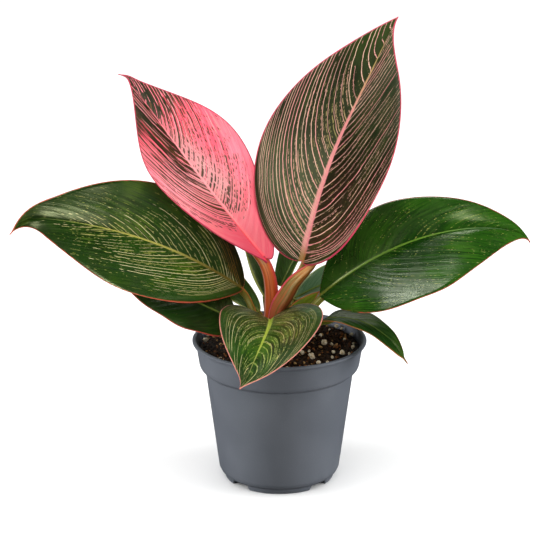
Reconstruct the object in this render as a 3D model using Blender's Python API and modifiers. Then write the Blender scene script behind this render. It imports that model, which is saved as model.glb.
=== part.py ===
"""A potted philodendron: a turned nursery pot, potting mix with perlite, a short stem and eleven leaves.

Lengths are given in millimetres and scaled to metres by MM, angles in degrees. Z is up, the pot's
axis is the Z axis, its feet stand on Z = 0 and the plant's front faces -Y.
"""

from math import cos, pi, radians, sin

import bmesh
import bpy
import numpy as np
from mathutils import Matrix, Vector, geometry

MM = 0.001
GAP = 0.3

# Pot, turned about Z.
POT_HEIGHT = 100
RIM_RADIUS = 60
COLLAR_TOP_RADIUS = 57.2
COLLAR_FOOT_RADIUS = 55.2
COLLAR_HEIGHT = 18.4
BODY_TOP_RADIUS = 51.1
BODY_FOOT_RADIUS = 42.5
BODY_FOOT_HEIGHT = 12
BASE_RADIUS = 38.5
FOOT_INNER_RADIUS = 31
FOOT_HEIGHT = 4
FOOT_COUNT = 4
NOTCH_ANGLE = 22
NOTCH_HEIGHT = 3.6
WALL = 1.4
FLOOR_TOP = FOOT_HEIGHT + 1.8
DRAIN_HOLE_RADIUS = 4
DRAIN_HOLE_CIRCLE = 23
CUTTER_LENGTH = 12
POT_STEPS = 64
SOIL_STEPS = 32

# Potting mix, with a socket that holds the foot of the stem.
SOIL_TOP = 94.5
SOIL_MOUND = 1
SOCKET_RADIUS = 9
SOCKET_DEPTH = 12
STEM_BASE_RADIUS = SOCKET_RADIUS - GAP

# The stem's axis and radii, from the socket up to the crown.
STEM_ROUTE = ((0, 0, 84.5), (-0.5, 0, 94), (-3, 1, 102), (-5, 1.5, 109))
STEM_RADII = (STEM_BASE_RADIUS, 8, 6.5, 4)

BLADE_THICKNESS = 0.8
BLADE_ROWS = 20
BLADE_COLUMNS = 8
LOBE_PLACE = 0.12
SHOULDER_PLACE = 0.35
VEIN_SWEEP = 2.6
VEIN_BOW = 0.15
ARCH_GROWTH = 1.3
MIDRIB_SAMPLES = 400

# Each leaf. base is where its stalk meets the blade. heading turns it about Z, rise lifts the tip and
# roll turns it about its own midrib. arch bends the midrib down, sway bends it sideways and twist
# winds the blade. fold lifts the left and right halves, cup lifts the margins further. widest is the
# place of the greatest width and taper is how pointed the tip is, each for the left and right half.
LEAVES = {
    "pink_leaf": dict(
        base=(-11.7, 3.9, 157.8), length=162.5, width=82, heading=158, rise=46.5, roll=-33, arch=8,
        sway=-10, twist=-3, fold=(21.5, 16.5), cup=8, widest=(0.476, 0.486), taper=(2.24, 1.55),
        shoulder=(0, 2.8), skew=0.05, lobe=0.1, tip_drop=0, tip_turn=50, tip_from=0.93,
    ),
    "striped_leaf": dict(
        base=(15.6, -3.6, 156.6), length=182.5, width=122.5, heading=13.5, rise=77.5, roll=35, arch=60,
        sway=9, twist=8.5, fold=(14, 20), cup=9.5, widest=(0.4, 0.385), taper=(1.02, 1.8),
        skew=-0.15, lobe=0.05, tip_drop=-26, tip_turn=-2, tip_from=0.485,
    ),
    "left_leaf": dict(
        base=(-26.5, 3, 135.2), length=173.5, width=85, heading=200.5, rise=38.5, roll=-62, arch=52,
        sway=20, twist=-8.5, fold=(17, 3), cup=10.5, widest=(0.43, 0.415), taper=(1.78, 1.43),
        skew=0.07, lobe=0.05, tip_drop=-46, tip_turn=58, tip_from=0.805,
    ),
    "right_leaf": dict(
        base=(27.5, 2.7, 129.2), length=174, width=99, heading=9, rise=39, roll=28, arch=68.5,
        sway=-15, twist=31, fold=(0.5, 11), cup=19, widest=(0.325, 0.245), taper=(1.23, 1.52),
        skew=-0.31, lobe=-0.05, shoulder=(0, 4), tip_drop=22, tip_turn=7, tip_from=0.835,
    ),
    "front_leaf": dict(
        base=(-6, -31.4, 123.7), length=83.8, width=72, heading=269, rise=6.5, roll=1, arch=47,
        sway=-27.5, twist=-6.5, fold=(14, 11.5), cup=5.5, widest=(0.43, 0.31), taper=(0.96, 1.16),
        skew=0.06, lobe=0.42, tip_drop=10, tip_turn=-45, tip_from=0.83,
    ),
    "drooping_leaf": dict(
        base=(31.8, -5.9, 116), length=71, width=36.5, heading=-28.5, rise=14.5, roll=1, arch=79,
        sway=-7.5, twist=-6.5, fold=(0.5, 5.5), cup=7, widest=(0.19, 0.355), taper=(0.81, 1.05),
        skew=-0.05, lobe=0.035, tip_drop=-11, tip_turn=38, tip_from=0.865,
    ),
    "lower_left_leaf": dict(
        base=(-29.8, -4.3, 112.8), length=86, width=60.5, heading=197, rise=34.5, roll=-36, arch=20,
        sway=11, twist=-2, fold=(8, 8.5), cup=5.5, widest=(0.45, 0.45), taper=(0.84, 1.08),
        skew=0.01, lobe=0.035, tip_drop=-1, tip_turn=1, tip_from=0.86,
    ),
    "back_left_leaf": dict(
        base=(-9, 12, 124), length=84, width=16.5, heading=106, rise=62, roll=-8, arch=10,
        sway=5, twist=0, fold=(16, 14), cup=6.5, widest=(0.47, 0.47), taper=(1.4, 1.4),
        skew=0.35, lobe=0.05, tip_drop=6, tip_turn=12, tip_from=0.85,
    ),
    "back_middle_leaf": dict(
        base=(1.5, 17, 132), length=84, width=40, heading=30, rise=60, roll=-8, arch=4,
        sway=0, twist=0, fold=(10, 14), cup=5, widest=(0.38, 0.38), taper=(1.2, 1.2),
        skew=0, lobe=0.05, tip_drop=0, tip_turn=0, tip_from=0.86,
    ),
    "back_right_leaf": dict(
        base=(10.5, 16, 123), length=109, width=46, heading=52, rise=5.5, roll=30, arch=40,
        sway=0, twist=0, fold=(32, 26), cup=6, widest=(0.45, 0.45), taper=(1.4, 1.4),
        skew=-0.45, lobe=0.05, tip_drop=3, tip_turn=0, tip_from=0.86,
    ),
    "back_side_leaf": dict(
        base=(-14.5, 7.5, 117), length=96, width=22, heading=146, rise=32, roll=-30, arch=32,
        sway=-3, twist=0, fold=(14, 14), cup=6, widest=(0.38, 0.38), taper=(1.4, 1.4),
        skew=0, lobe=0.045, tip_drop=1, tip_turn=-3, tip_from=0.86,
    ),
}

# Two short bracts at the crown, drawn as small leaves without a stalk.
BRACTS = {
    "right_bract": dict(
        base=(0.9, 4.6, 107.5), length=36, width=11.5, heading=13, rise=43, roll=65, arch=20,
        sway=-6, twist=0, fold=(20, 20), cup=10, widest=(0.4, 0.4), taper=(1, 1),
        skew=0, lobe=0, tip_drop=0, tip_turn=0, tip_from=0.86,
    ),
    "left_bract": dict(
        base=(-8, -9, 107), length=22, width=9, heading=192, rise=42, roll=-40, arch=10,
        sway=0, twist=0, fold=(20, 20), cup=10, widest=(0.4, 0.4), taper=(1, 1),
        skew=0, lobe=0, tip_drop=0, tip_turn=0, tip_from=0.86,
    ),
}

# Stalks: where each one starts around the stem, how high, how thick at foot and blade, how steeply it
# leaves the stem and how far each end runs straight.
STALKS = {
    "striped_leaf": dict(start=(5.5, 0.6, 133), side=30, radii=(2.2, 2.2), climb=72, reach=(8, 10)),
    "pink_leaf": dict(start=(-5, 2.2, 110.6), side=180, radii=(4.2, 3.0), climb=86, reach=(14, 16)),
    "left_leaf": dict(side=190, height=104, radii=(2.4, 2.2), climb=45, reach=(10, 14)),
    "right_leaf": dict(side=5, height=100, radii=(2.8, 2.6), climb=45, reach=(12, 12)),
    "front_leaf": dict(side=265, height=100.5, radii=(2.6, 2.2), climb=45, reach=(12, 10)),
    "drooping_leaf": dict(side=318, height=100, radii=(2.2, 2.0), climb=35, reach=(12, 12)),
    "lower_left_leaf": dict(side=212, height=100, radii=(2.3, 2.1), climb=35, reach=(10, 8)),
    "back_left_leaf": dict(side=112, height=100, radii=(2.5, 2.3), climb=60, reach=(12, 10)),
    "back_middle_leaf": dict(side=70, height=101, radii=(2.4, 2.2), climb=60, reach=(16, 12)),
    "back_right_leaf": dict(side=38, height=100, radii=(2.5, 2.3), climb=50, reach=(14, 10)),
    "back_side_leaf": dict(side=152, height=101, radii=(2.5, 2.3), climb=50, reach=(6, 5)),
}

# The striped leaf is the youngest: its stalk comes out of the channelled sheath in front of it.
SHEATH_ROUTE = ((-4.5, -7, 109), (-1.4, -7.5, 123), (3.5, -7.5, 132.5), (10, -7, 143.5), (20, -6, 151.5))
SHEATH_RADII = (4, 5.2, 5.4, 4.2, 2.2)

# Perlite grains on the mix: place and size.
GRAIN_SEED = 7
GRAINS = (
    (30.7, -4.3, 4.8), (42.3, -22.7, 4.2), (35.2, -29.2, 3), (36.4, -19.9, 3), (21.7, -29.2, 4.8),
    (15, -22, 3.6), (28.6, 13.6, 3.6), (23.6, 12.2, 3), (40.5, 33.5, 3.6), (44, 30.2, 3),
    (50.5, 17.5, 2.8), (50, -10, 3.2), (26, -39.7, 2.8), (-51.5, 4.5, 4), (-49.5, 15, 3), (-18, 40, 3.8),
)

STALK_POINTS = 11
STALK_TUCK = 2
STEM_POINTS = 9
SHEATH_POINTS = 14

LEAF_GREEN = (0.035, 0.11, 0.025)
STALK_GREEN = (0.17, 0.16, 0.035)
COLOURS = {
    "pot": (0.095, 0.105, 0.125),
    "soil": (0.018, 0.010, 0.006),
    "perlite": (0.78, 0.70, 0.58),
    "stem": (0.16, 0.15, 0.04),
    "pink_leaf": (0.86, 0.16, 0.22),
    "striped_leaf": (0.10, 0.09, 0.06),
    "back_right_leaf": (0.10, 0.16, 0.10),
    "pink_leaf_stalk": (0.42, 0.13, 0.07),
    "striped_leaf_sheath": (0.36, 0.12, 0.06),
    "right_bract": (0.13, 0.16, 0.01),
    "left_bract": (0.45, 0.05, 0.03),
}


def clear_scene():
    for obj in list(bpy.data.objects):
        bpy.data.objects.remove(obj)


def new_collection(name):
    collection = bpy.data.collections.new(name)
    bpy.context.scene.collection.children.link(collection)
    return collection


def material(name, colour, roughness=0.45):
    made = bpy.data.materials.new(name)
    made.use_nodes = True
    shader = made.node_tree.nodes["Principled BSDF"]
    shader.inputs["Base Color"].default_value = (*colour, 1)
    shader.inputs["Roughness"].default_value = roughness
    shader.inputs["Metallic"].default_value = 0
    return made


def add_object(name, data, collection, colour, roughness=0.45):
    data.materials.append(material(name, colour, roughness))
    obj = bpy.data.objects.new(name, data)
    collection.objects.link(obj)
    return obj


def mesh_of(bm, name):
    mesh = bpy.data.meshes.new(name)
    bm.to_mesh(mesh)
    bm.free()
    mesh.shade_smooth()
    return mesh


def ease(low, high, values):
    """0 below low, 1 above high, and a smooth step between them."""
    t = np.clip((values - low) / (high - low), 0, 1)
    return t * t * (3 - 2 * t)


def turned(name, profile, collection, steps, roughness=0.5):
    """A solid of revolution about Z. Its (radius, height) profile starts and ends on the axis."""
    bm = bmesh.new()
    points = [bm.verts.new((radius * MM, 0, height * MM)) for radius, height in profile]
    for first, second in zip(points, points[1:]):
        bm.edges.new((first, second))
    obj = add_object(name, mesh_of(bm, name), collection, COLOURS[name], roughness)
    screw = obj.modifiers.new("Turn", "SCREW")
    screw.axis = "Z"
    screw.steps = screw.render_steps = steps
    screw.use_merge_vertices = True
    screw.merge_threshold = 0.00001
    return obj


def add_cutter(name, bm, cutters):
    obj = bpy.data.objects.new(name, mesh_of(bm, name))
    cutters.objects.link(obj)
    obj.hide_render = True
    obj.display_type = "WIRE"
    return obj


def cut(obj, tool):
    boolean = obj.modifiers.new("Cut " + tool.name, "BOOLEAN")
    boolean.operation = "DIFFERENCE"
    boolean.object = tool


def pot_profile():
    """From the middle of the floor up the inside, over the rolled lip, down the outside to the feet."""
    collar_foot = POT_HEIGHT - COLLAR_HEIGHT
    inside = [
        (0, FLOOR_TOP),
        (BASE_RADIUS - 0.5, FLOOR_TOP),
        (BODY_FOOT_RADIUS - WALL, BODY_FOOT_HEIGHT),
        (BODY_TOP_RADIUS - WALL, collar_foot - 3),
        (COLLAR_FOOT_RADIUS - WALL - 1.2, collar_foot - 0.8),
        (COLLAR_FOOT_RADIUS - WALL, collar_foot + 1.4),
        (COLLAR_TOP_RADIUS - WALL, POT_HEIGHT - 4),
        (RIM_RADIUS - 3.2, POT_HEIGHT - 0.8),
        (RIM_RADIUS - 2.6, POT_HEIGHT - 0.1),
    ]
    outside = [
        (RIM_RADIUS - 1.5, POT_HEIGHT),
        (RIM_RADIUS - 0.3, POT_HEIGHT - 0.3),
        (RIM_RADIUS, POT_HEIGHT - 1),
        (RIM_RADIUS - 0.4, POT_HEIGHT - 2),
        (COLLAR_TOP_RADIUS + 0.6, POT_HEIGHT - 2.8),
        (COLLAR_TOP_RADIUS, POT_HEIGHT - 4.5),
        (COLLAR_FOOT_RADIUS, collar_foot + 1.2),
        (COLLAR_FOOT_RADIUS - 0.7, collar_foot - 0.6),
        (COLLAR_FOOT_RADIUS - 2.2, collar_foot - 2),
        (BODY_TOP_RADIUS, collar_foot - 3.2),
        (BODY_FOOT_RADIUS, BODY_FOOT_HEIGHT),
        (BODY_FOOT_RADIUS - 0.6, 7.6),
        (BODY_FOOT_RADIUS - 1.8, 5.2),
        (BASE_RADIUS, FOOT_HEIGHT - 0.6),
        (BASE_RADIUS - 0.6, 0),
        (FOOT_INNER_RADIUS, 0),
        (FOOT_INNER_RADIUS - 0.5, FOOT_HEIGHT),
        (0, FOOT_HEIGHT),
    ]
    return inside + outside


def build_pot(part, cutters):
    """The turned shell, less the notches between its feet and the drain holes in its floor."""
    pot = turned("pot", pot_profile(), part, POT_STEPS)
    notches = bmesh.new()
    holes = bmesh.new()
    notch_radius = (BASE_RADIUS + FOOT_INNER_RADIUS) / 2
    notch_width = 2 * notch_radius * sin(radians(NOTCH_ANGLE / 2))
    for number in range(FOOT_COUNT):
        turn = (number + 0.5) * 2 * pi / FOOT_COUNT
        outward = Vector((cos(turn), sin(turn), 0))
        block = bmesh.ops.create_cube(notches, size=1)["verts"]
        bmesh.ops.scale(notches, vec=Vector((CUTTER_LENGTH, notch_width, 2 * NOTCH_HEIGHT)) * MM, verts=block)
        bmesh.ops.rotate(notches, cent=(0, 0, 0), matrix=Matrix.Rotation(turn, 3, "Z"), verts=block)
        bmesh.ops.translate(notches, vec=outward * notch_radius * MM, verts=block)
        drill = bmesh.ops.create_cone(
            holes, cap_ends=True, segments=16, depth=CUTTER_LENGTH * MM,
            radius1=DRAIN_HOLE_RADIUS * MM, radius2=DRAIN_HOLE_RADIUS * MM,
        )["verts"]
        place = outward * DRAIN_HOLE_CIRCLE + Vector((0, 0, FOOT_HEIGHT))
        bmesh.ops.translate(holes, vec=place * MM, verts=drill)
    cut(pot, add_cutter("notch_cutter", notches, cutters))
    cut(pot, add_cutter("drain_cutter", holes, cutters))


def soil_height(radius):
    """The mix is a little higher round the stem than at the wall."""
    return SOIL_TOP + SOIL_MOUND * (1 - (radius / COLLAR_FOOT_RADIUS) ** 2)


def build_soil(part):
    """The moulded ball of potting mix, which fills the pot up to just under its lip."""
    collar_foot = POT_HEIGHT - COLLAR_HEIGHT
    slack = WALL + GAP
    rings = np.linspace(SOCKET_RADIUS, COLLAR_FOOT_RADIUS, 6)[:-1]
    top = [(radius, soil_height(radius)) for radius in rings]
    profile = [(0, soil_height(0) - SOCKET_DEPTH), (SOCKET_RADIUS, soil_height(0) - SOCKET_DEPTH)]
    profile += top + [
        (COLLAR_TOP_RADIUS - slack - 1, SOIL_TOP),
        (COLLAR_FOOT_RADIUS - slack, collar_foot + 1.6),
        (COLLAR_FOOT_RADIUS - slack - 1.4, collar_foot - 0.8),
        (BODY_TOP_RADIUS - slack, collar_foot - 3.2),
        (BODY_FOOT_RADIUS - slack, BODY_FOOT_HEIGHT + 0.2),
        (BASE_RADIUS - 1, FLOOR_TOP + GAP),
        (0, FLOOR_TOP + GAP),
    ]
    turned("soil", profile, part, SOIL_STEPS, 0.95)


def tube(name, route, radii, part, colour, roughness=0.4):
    """A round stalk along the route, with a radius at each of its points and closed ends."""
    curve = bpy.data.curves.new(name, "CURVE")
    curve.dimensions = "3D"
    curve.bevel_depth = MM
    curve.bevel_resolution = 2
    curve.use_fill_caps = True
    spline = curve.splines.new("POLY")
    spline.points.add(len(route) - 1)
    for point, place, radius in zip(spline.points, route, radii):
        point.co = (*(Vector(place) * MM), 1)
        point.radius = radius
    spline.use_smooth = True
    return add_object(name, curve, part, colour, roughness)


def smooth_route(route, radii, count):
    """A curve through the route's own points, read at count places, with its radii."""
    at = np.linspace(0, 1, len(route))
    places = np.linspace(0, 1, count)
    slopes = np.gradient(np.array(route, float), at, axis=0)
    span = np.clip(np.searchsorted(at, places, side="right") - 1, 0, len(route) - 2)
    step = at[1]
    t = ((places - at[span]) / step)[:, None]
    start = np.array(route, float)[span]
    end = np.array(route, float)[span + 1]
    points = (
        start * (2 * t**3 - 3 * t**2 + 1)
        + slopes[span] * step * (t**3 - 2 * t**2 + t)
        + end * (3 * t**2 - 2 * t**3)
        + slopes[span + 1] * step * (t**3 - t**2)
    )
    return points, np.interp(places, at, radii)


def blade_outline(leaf, q, v):
    """The flat blade, as (along, across) from its base.

    q runs from the base (0) to the tip (1) along the margins and v from the right margin (-1) over
    the midrib (0) to the left one (1). A line of constant q is a side vein: it leaves the midrib low
    down and bows out towards its own place on the margin. The half width is a beta curve with its top
    at widest, wider by shoulder near the base, where the margin reaches back past it by lobe, which
    makes the heart shape.
    """
    left = v >= 0
    widest = np.where(left, *leaf["widest"])
    taper = np.where(left, *leaf["taper"])
    half = 0.5 * leaf["width"] * (1 + np.where(left, 1, -1) * leaf["skew"])
    margin_across = half * (q / widest) ** (taper * widest / (1 - widest))
    margin_across = margin_across * ((1 - q) / (1 - widest)) ** taper
    shoulder = np.where(left, *leaf.get("shoulder", (0, 0)))
    rest = np.clip(1 - q / SHOULDER_PLACE, 0, 1)
    margin_across = margin_across + 3.5 * shoulder * np.sqrt(1 - rest) * rest**2
    place = q / LOBE_PLACE
    back = leaf["lobe"] * np.sqrt(place) * np.exp((1 - place**1.5) / 3) * (1 - q)
    margin_along = leaf["length"] * (q - back)
    vein_start = leaf["length"] * q**VEIN_SWEEP
    reach = np.abs(v)
    rise = 2 * (0.5 - VEIN_BOW) * reach * (1 - reach) + reach**2
    spread = 2 * (0.5 + VEIN_BOW) * reach * (1 - reach) + reach**2
    return vein_start + (margin_along - vein_start) * rise, margin_across * spread * np.sign(v)


def midrib_frame(leaf, along):
    """The bent midrib: its points, its sideways directions and its upward directions.

    The pitch falls by arch and the heading turns by sway from base to tip, and past tip_from the
    tip drops and turns further. The points are the running sum of the directions.
    """
    length = leaf["length"]
    places = np.linspace(-0.5, 1, MIDRIB_SAMPLES)
    u = np.clip(places, 0, 1)
    tip = ease(leaf["tip_from"], 1, u)
    pitch = -radians(leaf["arch"]) * u**ARCH_GROWTH - radians(leaf["tip_drop"]) * tip
    turn = radians(leaf["sway"]) * u + radians(leaf["tip_turn"]) * tip
    forward = np.stack([np.cos(pitch) * np.cos(turn), np.cos(pitch) * np.sin(turn), np.sin(pitch)], 1)
    steps = (forward[1:] + forward[:-1]) / 2 * np.diff(places)[:, None] * length
    points = np.concatenate([np.zeros((1, 3)), np.cumsum(steps, axis=0)])
    sideways = np.stack([-np.sin(turn), np.cos(turn), 0 * turn], 1)
    upward = np.cross(forward, sideways)
    wind = (radians(leaf["twist"]) * u)[:, None]
    sides = sideways * np.cos(wind) + upward * np.sin(wind)
    ups = upward * np.cos(wind) - sideways * np.sin(wind)

    def read(values):
        return np.stack([np.interp(along / length, places, column) for column in values.T], -1)

    base = np.array([np.interp(0, places, column) for column in points.T])
    return read(points) - base, read(sides), read(ups)


def blade_turn(leaf):
    """The leaf's own turn: roll about the midrib, then rise, then heading."""
    heading = Matrix.Rotation(radians(leaf["heading"]), 3, "Z")
    rise = Matrix.Rotation(-radians(leaf["rise"]), 3, "Y")
    roll = Matrix.Rotation(radians(leaf["roll"]), 3, "X")
    return heading @ rise @ roll


def blade_points(leaf, q, v):
    """The blade bent along its midrib, folded up at the midrib, cupped and turned to its place."""
    along, across = blade_outline(leaf, q, v)
    points, sides, ups = midrib_frame(leaf, along)
    fold = np.where(v >= 0, *leaf["fold"])
    cup = leaf["cup"] * np.abs(across) / leaf["width"]
    lift = np.radians(fold + cup)
    points = points + sides * (across * np.cos(lift))[..., None]
    points = points + ups * (np.abs(across) * np.sin(lift))[..., None]
    return points @ np.array(blade_turn(leaf)).T + np.array(leaf["base"])


def build_blade(name, leaf, part):
    """A grid bent into the blade, closed to a point at base and tip, then given its thickness."""
    bm = bmesh.new()
    bmesh.ops.create_grid(bm, x_segments=BLADE_ROWS, y_segments=BLADE_COLUMNS, size=1)
    bm.verts.ensure_lookup_table()
    grid = np.array([vert.co[:2] for vert in bm.verts])
    q = 0.5 - 0.5 * np.cos(pi * (grid[:, 0] + 1) / 2)
    places = blade_points(leaf, q, grid[:, 1]) * MM
    for vert, place in zip(bm.verts, places):
        vert.co = place
    bmesh.ops.remove_doubles(bm, verts=bm.verts, dist=0.00001)
    blade = add_object(name, mesh_of(bm, name), part, COLOURS.get(name, LEAF_GREEN), 0.35)
    solidify = blade.modifiers.new("Thickness", "SOLIDIFY")
    solidify.thickness = BLADE_THICKNESS * MM
    solidify.offset = 0


def stem_at(height):
    """The stem's axis and radius at this height."""
    heights = [place[2] for place in STEM_ROUTE]
    axis = [np.interp(height, heights, [place[axis] for place in STEM_ROUTE]) for axis in range(2)]
    return Vector((*axis, height)), np.interp(height, heights, STEM_RADII)


def stalk_route(leaf, stalk):
    """From the side of the stem to the underside of the blade, STALK_TUCK past the blade's base."""
    foot_radius, blade_radius = stalk["radii"]
    side = radians(stalk["side"])
    climb = radians(stalk["climb"])
    outward = Vector((cos(side), sin(side), 0))
    if "start" in stalk:
        start = Vector(stalk["start"])
    else:
        axis, stem_radius = stem_at(stalk["height"])
        start = axis + outward * (stem_radius + GAP + foot_radius * sin(climb))
    turn = blade_turn(leaf)
    forward = turn @ Vector((1, 0, 0))
    upward = turn @ Vector((0, 0, 1))
    sink = blade_radius + BLADE_THICKNESS / 2 + GAP
    end = Vector(leaf["base"]) + forward * STALK_TUCK - upward * sink
    start_aim = start + (outward * cos(climb) + Vector((0, 0, 1)) * sin(climb)) * stalk["reach"][0]
    end_aim = end - forward * stalk["reach"][1]
    return geometry.interpolate_bezier(start, start_aim, end_aim, end, STALK_POINTS)


def build_leaves(part):
    for name, leaf in (LEAVES | BRACTS).items():
        build_blade(name, leaf, part)
    for name, stalk in STALKS.items():
        radii = np.linspace(*stalk["radii"], STALK_POINTS)
        colour = COLOURS.get(name + "_stalk", STALK_GREEN)
        tube(name + "_stalk", stalk_route(LEAVES[name], stalk), radii, part, colour)
    route, radii = smooth_route(SHEATH_ROUTE, SHEATH_RADII, SHEATH_POINTS)
    tube("striped_leaf_sheath", route, radii, part, COLOURS["striped_leaf_sheath"])


def build_perlite(part):
    """The larger grains of perlite: rough lumps that rest on the mix."""
    shaker = np.random.default_rng(GRAIN_SEED)
    for number, (x, y, size) in enumerate(GRAINS, 1):
        bm = bmesh.new()
        bmesh.ops.create_icosphere(bm, subdivisions=1, radius=size / 2 * MM)
        for vert in bm.verts:
            vert.co *= shaker.uniform(0.86, 1)
        rest = soil_height(np.hypot(x, y)) + GAP + size / 2
        bmesh.ops.translate(bm, vec=Vector((x, y, rest)) * MM, verts=bm.verts)
        name = f"perlite_{number:02d}"
        add_object(name, mesh_of(bm, name), part, COLOURS["perlite"], 0.9)


def main():
    clear_scene()
    part = new_collection("potted_philodendron")
    cutters = new_collection("cutters")
    build_pot(part, cutters)
    build_soil(part)
    route, radii = smooth_route(STEM_ROUTE, STEM_RADII, STEM_POINTS)
    tube("stem", route, radii, part, COLOURS["stem"])
    build_leaves(part)
    build_perlite(part)


main()
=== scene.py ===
import math

import bpy
import numpy as np
from mathutils import Matrix, Vector


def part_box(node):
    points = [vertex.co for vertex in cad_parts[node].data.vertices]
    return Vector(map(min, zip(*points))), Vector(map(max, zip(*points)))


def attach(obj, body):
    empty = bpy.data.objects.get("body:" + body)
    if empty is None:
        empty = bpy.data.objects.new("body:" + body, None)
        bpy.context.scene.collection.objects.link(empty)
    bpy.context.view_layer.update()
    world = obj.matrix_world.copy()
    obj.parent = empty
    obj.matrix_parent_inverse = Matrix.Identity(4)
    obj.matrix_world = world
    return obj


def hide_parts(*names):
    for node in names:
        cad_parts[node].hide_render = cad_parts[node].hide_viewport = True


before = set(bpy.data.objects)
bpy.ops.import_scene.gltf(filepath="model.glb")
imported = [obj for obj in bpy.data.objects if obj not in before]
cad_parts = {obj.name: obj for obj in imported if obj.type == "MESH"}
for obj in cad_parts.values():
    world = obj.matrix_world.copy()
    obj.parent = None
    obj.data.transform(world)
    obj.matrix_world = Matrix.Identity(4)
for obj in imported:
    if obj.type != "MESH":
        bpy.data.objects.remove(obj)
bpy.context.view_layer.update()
scene = bpy.context.scene
mm = 0.001
fullTurn = 2 * math.pi
studioGain = 1.6  # how much brighter than its own colour a surface looks in this studio's light


def paint(code, lift=1.0):
    # a colour code such as "F2A0A6", as seen in the studio, turned into the linear colour a shader takes
    parts = [int(code[i : i + 2], 16) / 255 for i in (0, 2, 4)]
    linear = [p / 12.92 if p <= 0.04045 else ((p + 0.055) / 1.055) ** 2.4 for p in parts]
    return (*[value * lift / studioGain for value in linear], 1.0)


def ease(low, high, values):
    # 0 below low, 1 above high, 3t^2 - 2t^3 between them
    t = np.clip((values - low) / (high - low), 0, 1)
    return t * t * (3 - 2 * t)


def hill(values, middle, width):
    # 1 at middle, falling off on both sides as exp(-((values - middle) / width)^2)
    return np.exp(-(((values - middle) / width) ** 2))


def ripple(points, seed, size, octaves):
    # sum of sines along random directions, each octave twice as fine and half as strong, about -1 to 1
    draw = np.random.default_rng(seed)
    total = weight = 0
    for octave in range(octaves):
        for _ in range(5):
            direction = draw.normal(size=points.shape[-1])
            direction *= fullTurn * 2**octave / size / np.linalg.norm(direction)
            total += np.sin(points @ direction + draw.uniform(0, fullTurn)) / 2**octave
        weight += 2.2 / 2**octave
    return total / weight


def unit(vectors):
    return vectors / np.maximum(np.linalg.norm(vectors, axis=-1, keepdims=True), 1e-9)


def facesBetween(near, far):
    # quads between the inner rows of two grids of numbers, and triangles at the first and the last row
    quads = np.stack([near[1:-2], far[1:-2], far[2:-1], near[2:-1]], -1).reshape(-1, 4)
    first = np.stack([near[0], far[1], near[1]], -1)
    return quads, np.concatenate([first, np.stack([near[-1], near[-2], far[-2]], -1)])


def placed(name, data):
    obj = bpy.data.objects.new(name, data)
    scene.collection.objects.link(obj)
    return obj


def skin(name, points, uv=None, notes=None):
    # Closed skins from a (copies, rows, columns, 3) array in mm: columns wrap round, and the first and last rows
    # are each drawn together to one point. uv is a layer's name and values, with one column more to close the
    # seam; notes are named numbers kept at the points.
    points = points if points.ndim == 4 else points[None]
    copies, rows, columns = points.shape[:3]

    def gathered(values):
        inner = values[:, 1:-1].reshape(copies, -1, *values.shape[3:])
        return np.concatenate([values[:, :1].mean(axis=2), inner, values[:, -1:].mean(axis=2)], axis=1)

    places = gathered(points)
    number = np.arange(rows * columns).reshape(rows, columns) - columns + 1
    number = np.clip(number, 0, (rows - 2) * columns + 1)
    quads, wedges = facesBetween(number, np.roll(number, -1, axis=1))
    halves = np.concatenate([quads[:, [0, 1, 2]], quads[:, [0, 2, 3]], wedges])
    a, b, c = (places[0, halves[:, corner]] for corner in range(3))
    way = -1 if np.einsum("ij,ij->", a, np.cross(b, c)) < 0 else 1  # turns the faces if their volume is negative
    shift = np.arange(copies)[:, None, None] * places.shape[1]
    faces = (quads[:, ::way] + shift).reshape(-1, 4).tolist() + (wedges[:, ::way] + shift).reshape(-1, 3).tolist()
    mesh = bpy.data.meshes.new(name)
    mesh.from_pydata((places.reshape(-1, 3) * mm).tolist(), [], faces)
    if uv:
        layer, values = uv
        corner = np.arange(rows * (columns + 1)).reshape(rows, columns + 1)
        corners = facesBetween(corner[:, :-1], corner[:, 1:])
        order = np.concatenate([part[:, ::way].reshape(-1) for part in corners])
        loops = values.reshape(-1, 2)[order].astype(np.float32)
        mesh.uv_layers.new(name=layer).data.foreach_set("uv", loops.reshape(-1))
    for key, values in (notes or {}).items():
        whole = gathered(np.broadcast_to(values, points.shape[:3]))
        layer = mesh.attributes.new(key, "FLOAT", "POINT")
        layer.data.foreach_set("value", whole.astype(np.float32).reshape(-1))
    mesh.shade_smooth()
    return placed(name, mesh)


def settle(piece, material, slot, *nodes):
    # material on, rides on the one body, stands for its CAD nodes
    piece.data.materials.append(material)
    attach(piece, "root")
    if nodes:
        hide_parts(*nodes)


# shader nodes: a value is a number or another node's socket, and a new node joins the tree of its sockets


def newMaterial(name):
    material = bpy.data.materials.new(name)
    material.use_nodes = True
    return material, material.node_tree, material.node_tree.nodes["Principled BSDF"]


def isSocket(value):
    return isinstance(value, bpy.types.NodeSocket)


def wire(socket, value):
    # links another node's socket, or sets a number, a colour or a colour code
    if isSocket(value):
        socket.id_data.links.new(value, socket)
    else:
        socket.default_value = paint(value) if isinstance(value, str) else value


def node(kind, inputs, tree=None, **settings):
    tree = tree or next(value.id_data for value in inputs.values() if isSocket(value))
    made = tree.nodes.new("ShaderNode" + kind)
    for key, value in settings.items():
        setattr(made, key, value)
    for key, value in inputs.items():
        wire(made.inputs[key], value)
    return made.outputs


def calc(operation, *values):
    return node("Math", dict(enumerate(values)), operation=operation)[0]


def times(first, second, plus=0):
    return calc("MULTIPLY_ADD", first, second, plus)


def minus(first, second):
    return calc("SUBTRACT", first, second)


def step(value, low, high, first=0, second=1):
    # smooth step of value from low to high, running from first to second
    return node("MapRange", dict(enumerate((value, low, high, first, second))), interpolation_type="SMOOTHSTEP")[0]


def mixed(amount, first, second):
    return node("Mix", {0: amount, 6: first, 7: second}, data_type="RGBA")[2]


def spot(*values):
    return node("CombineXYZ", dict(enumerate(values)))[0]


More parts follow.
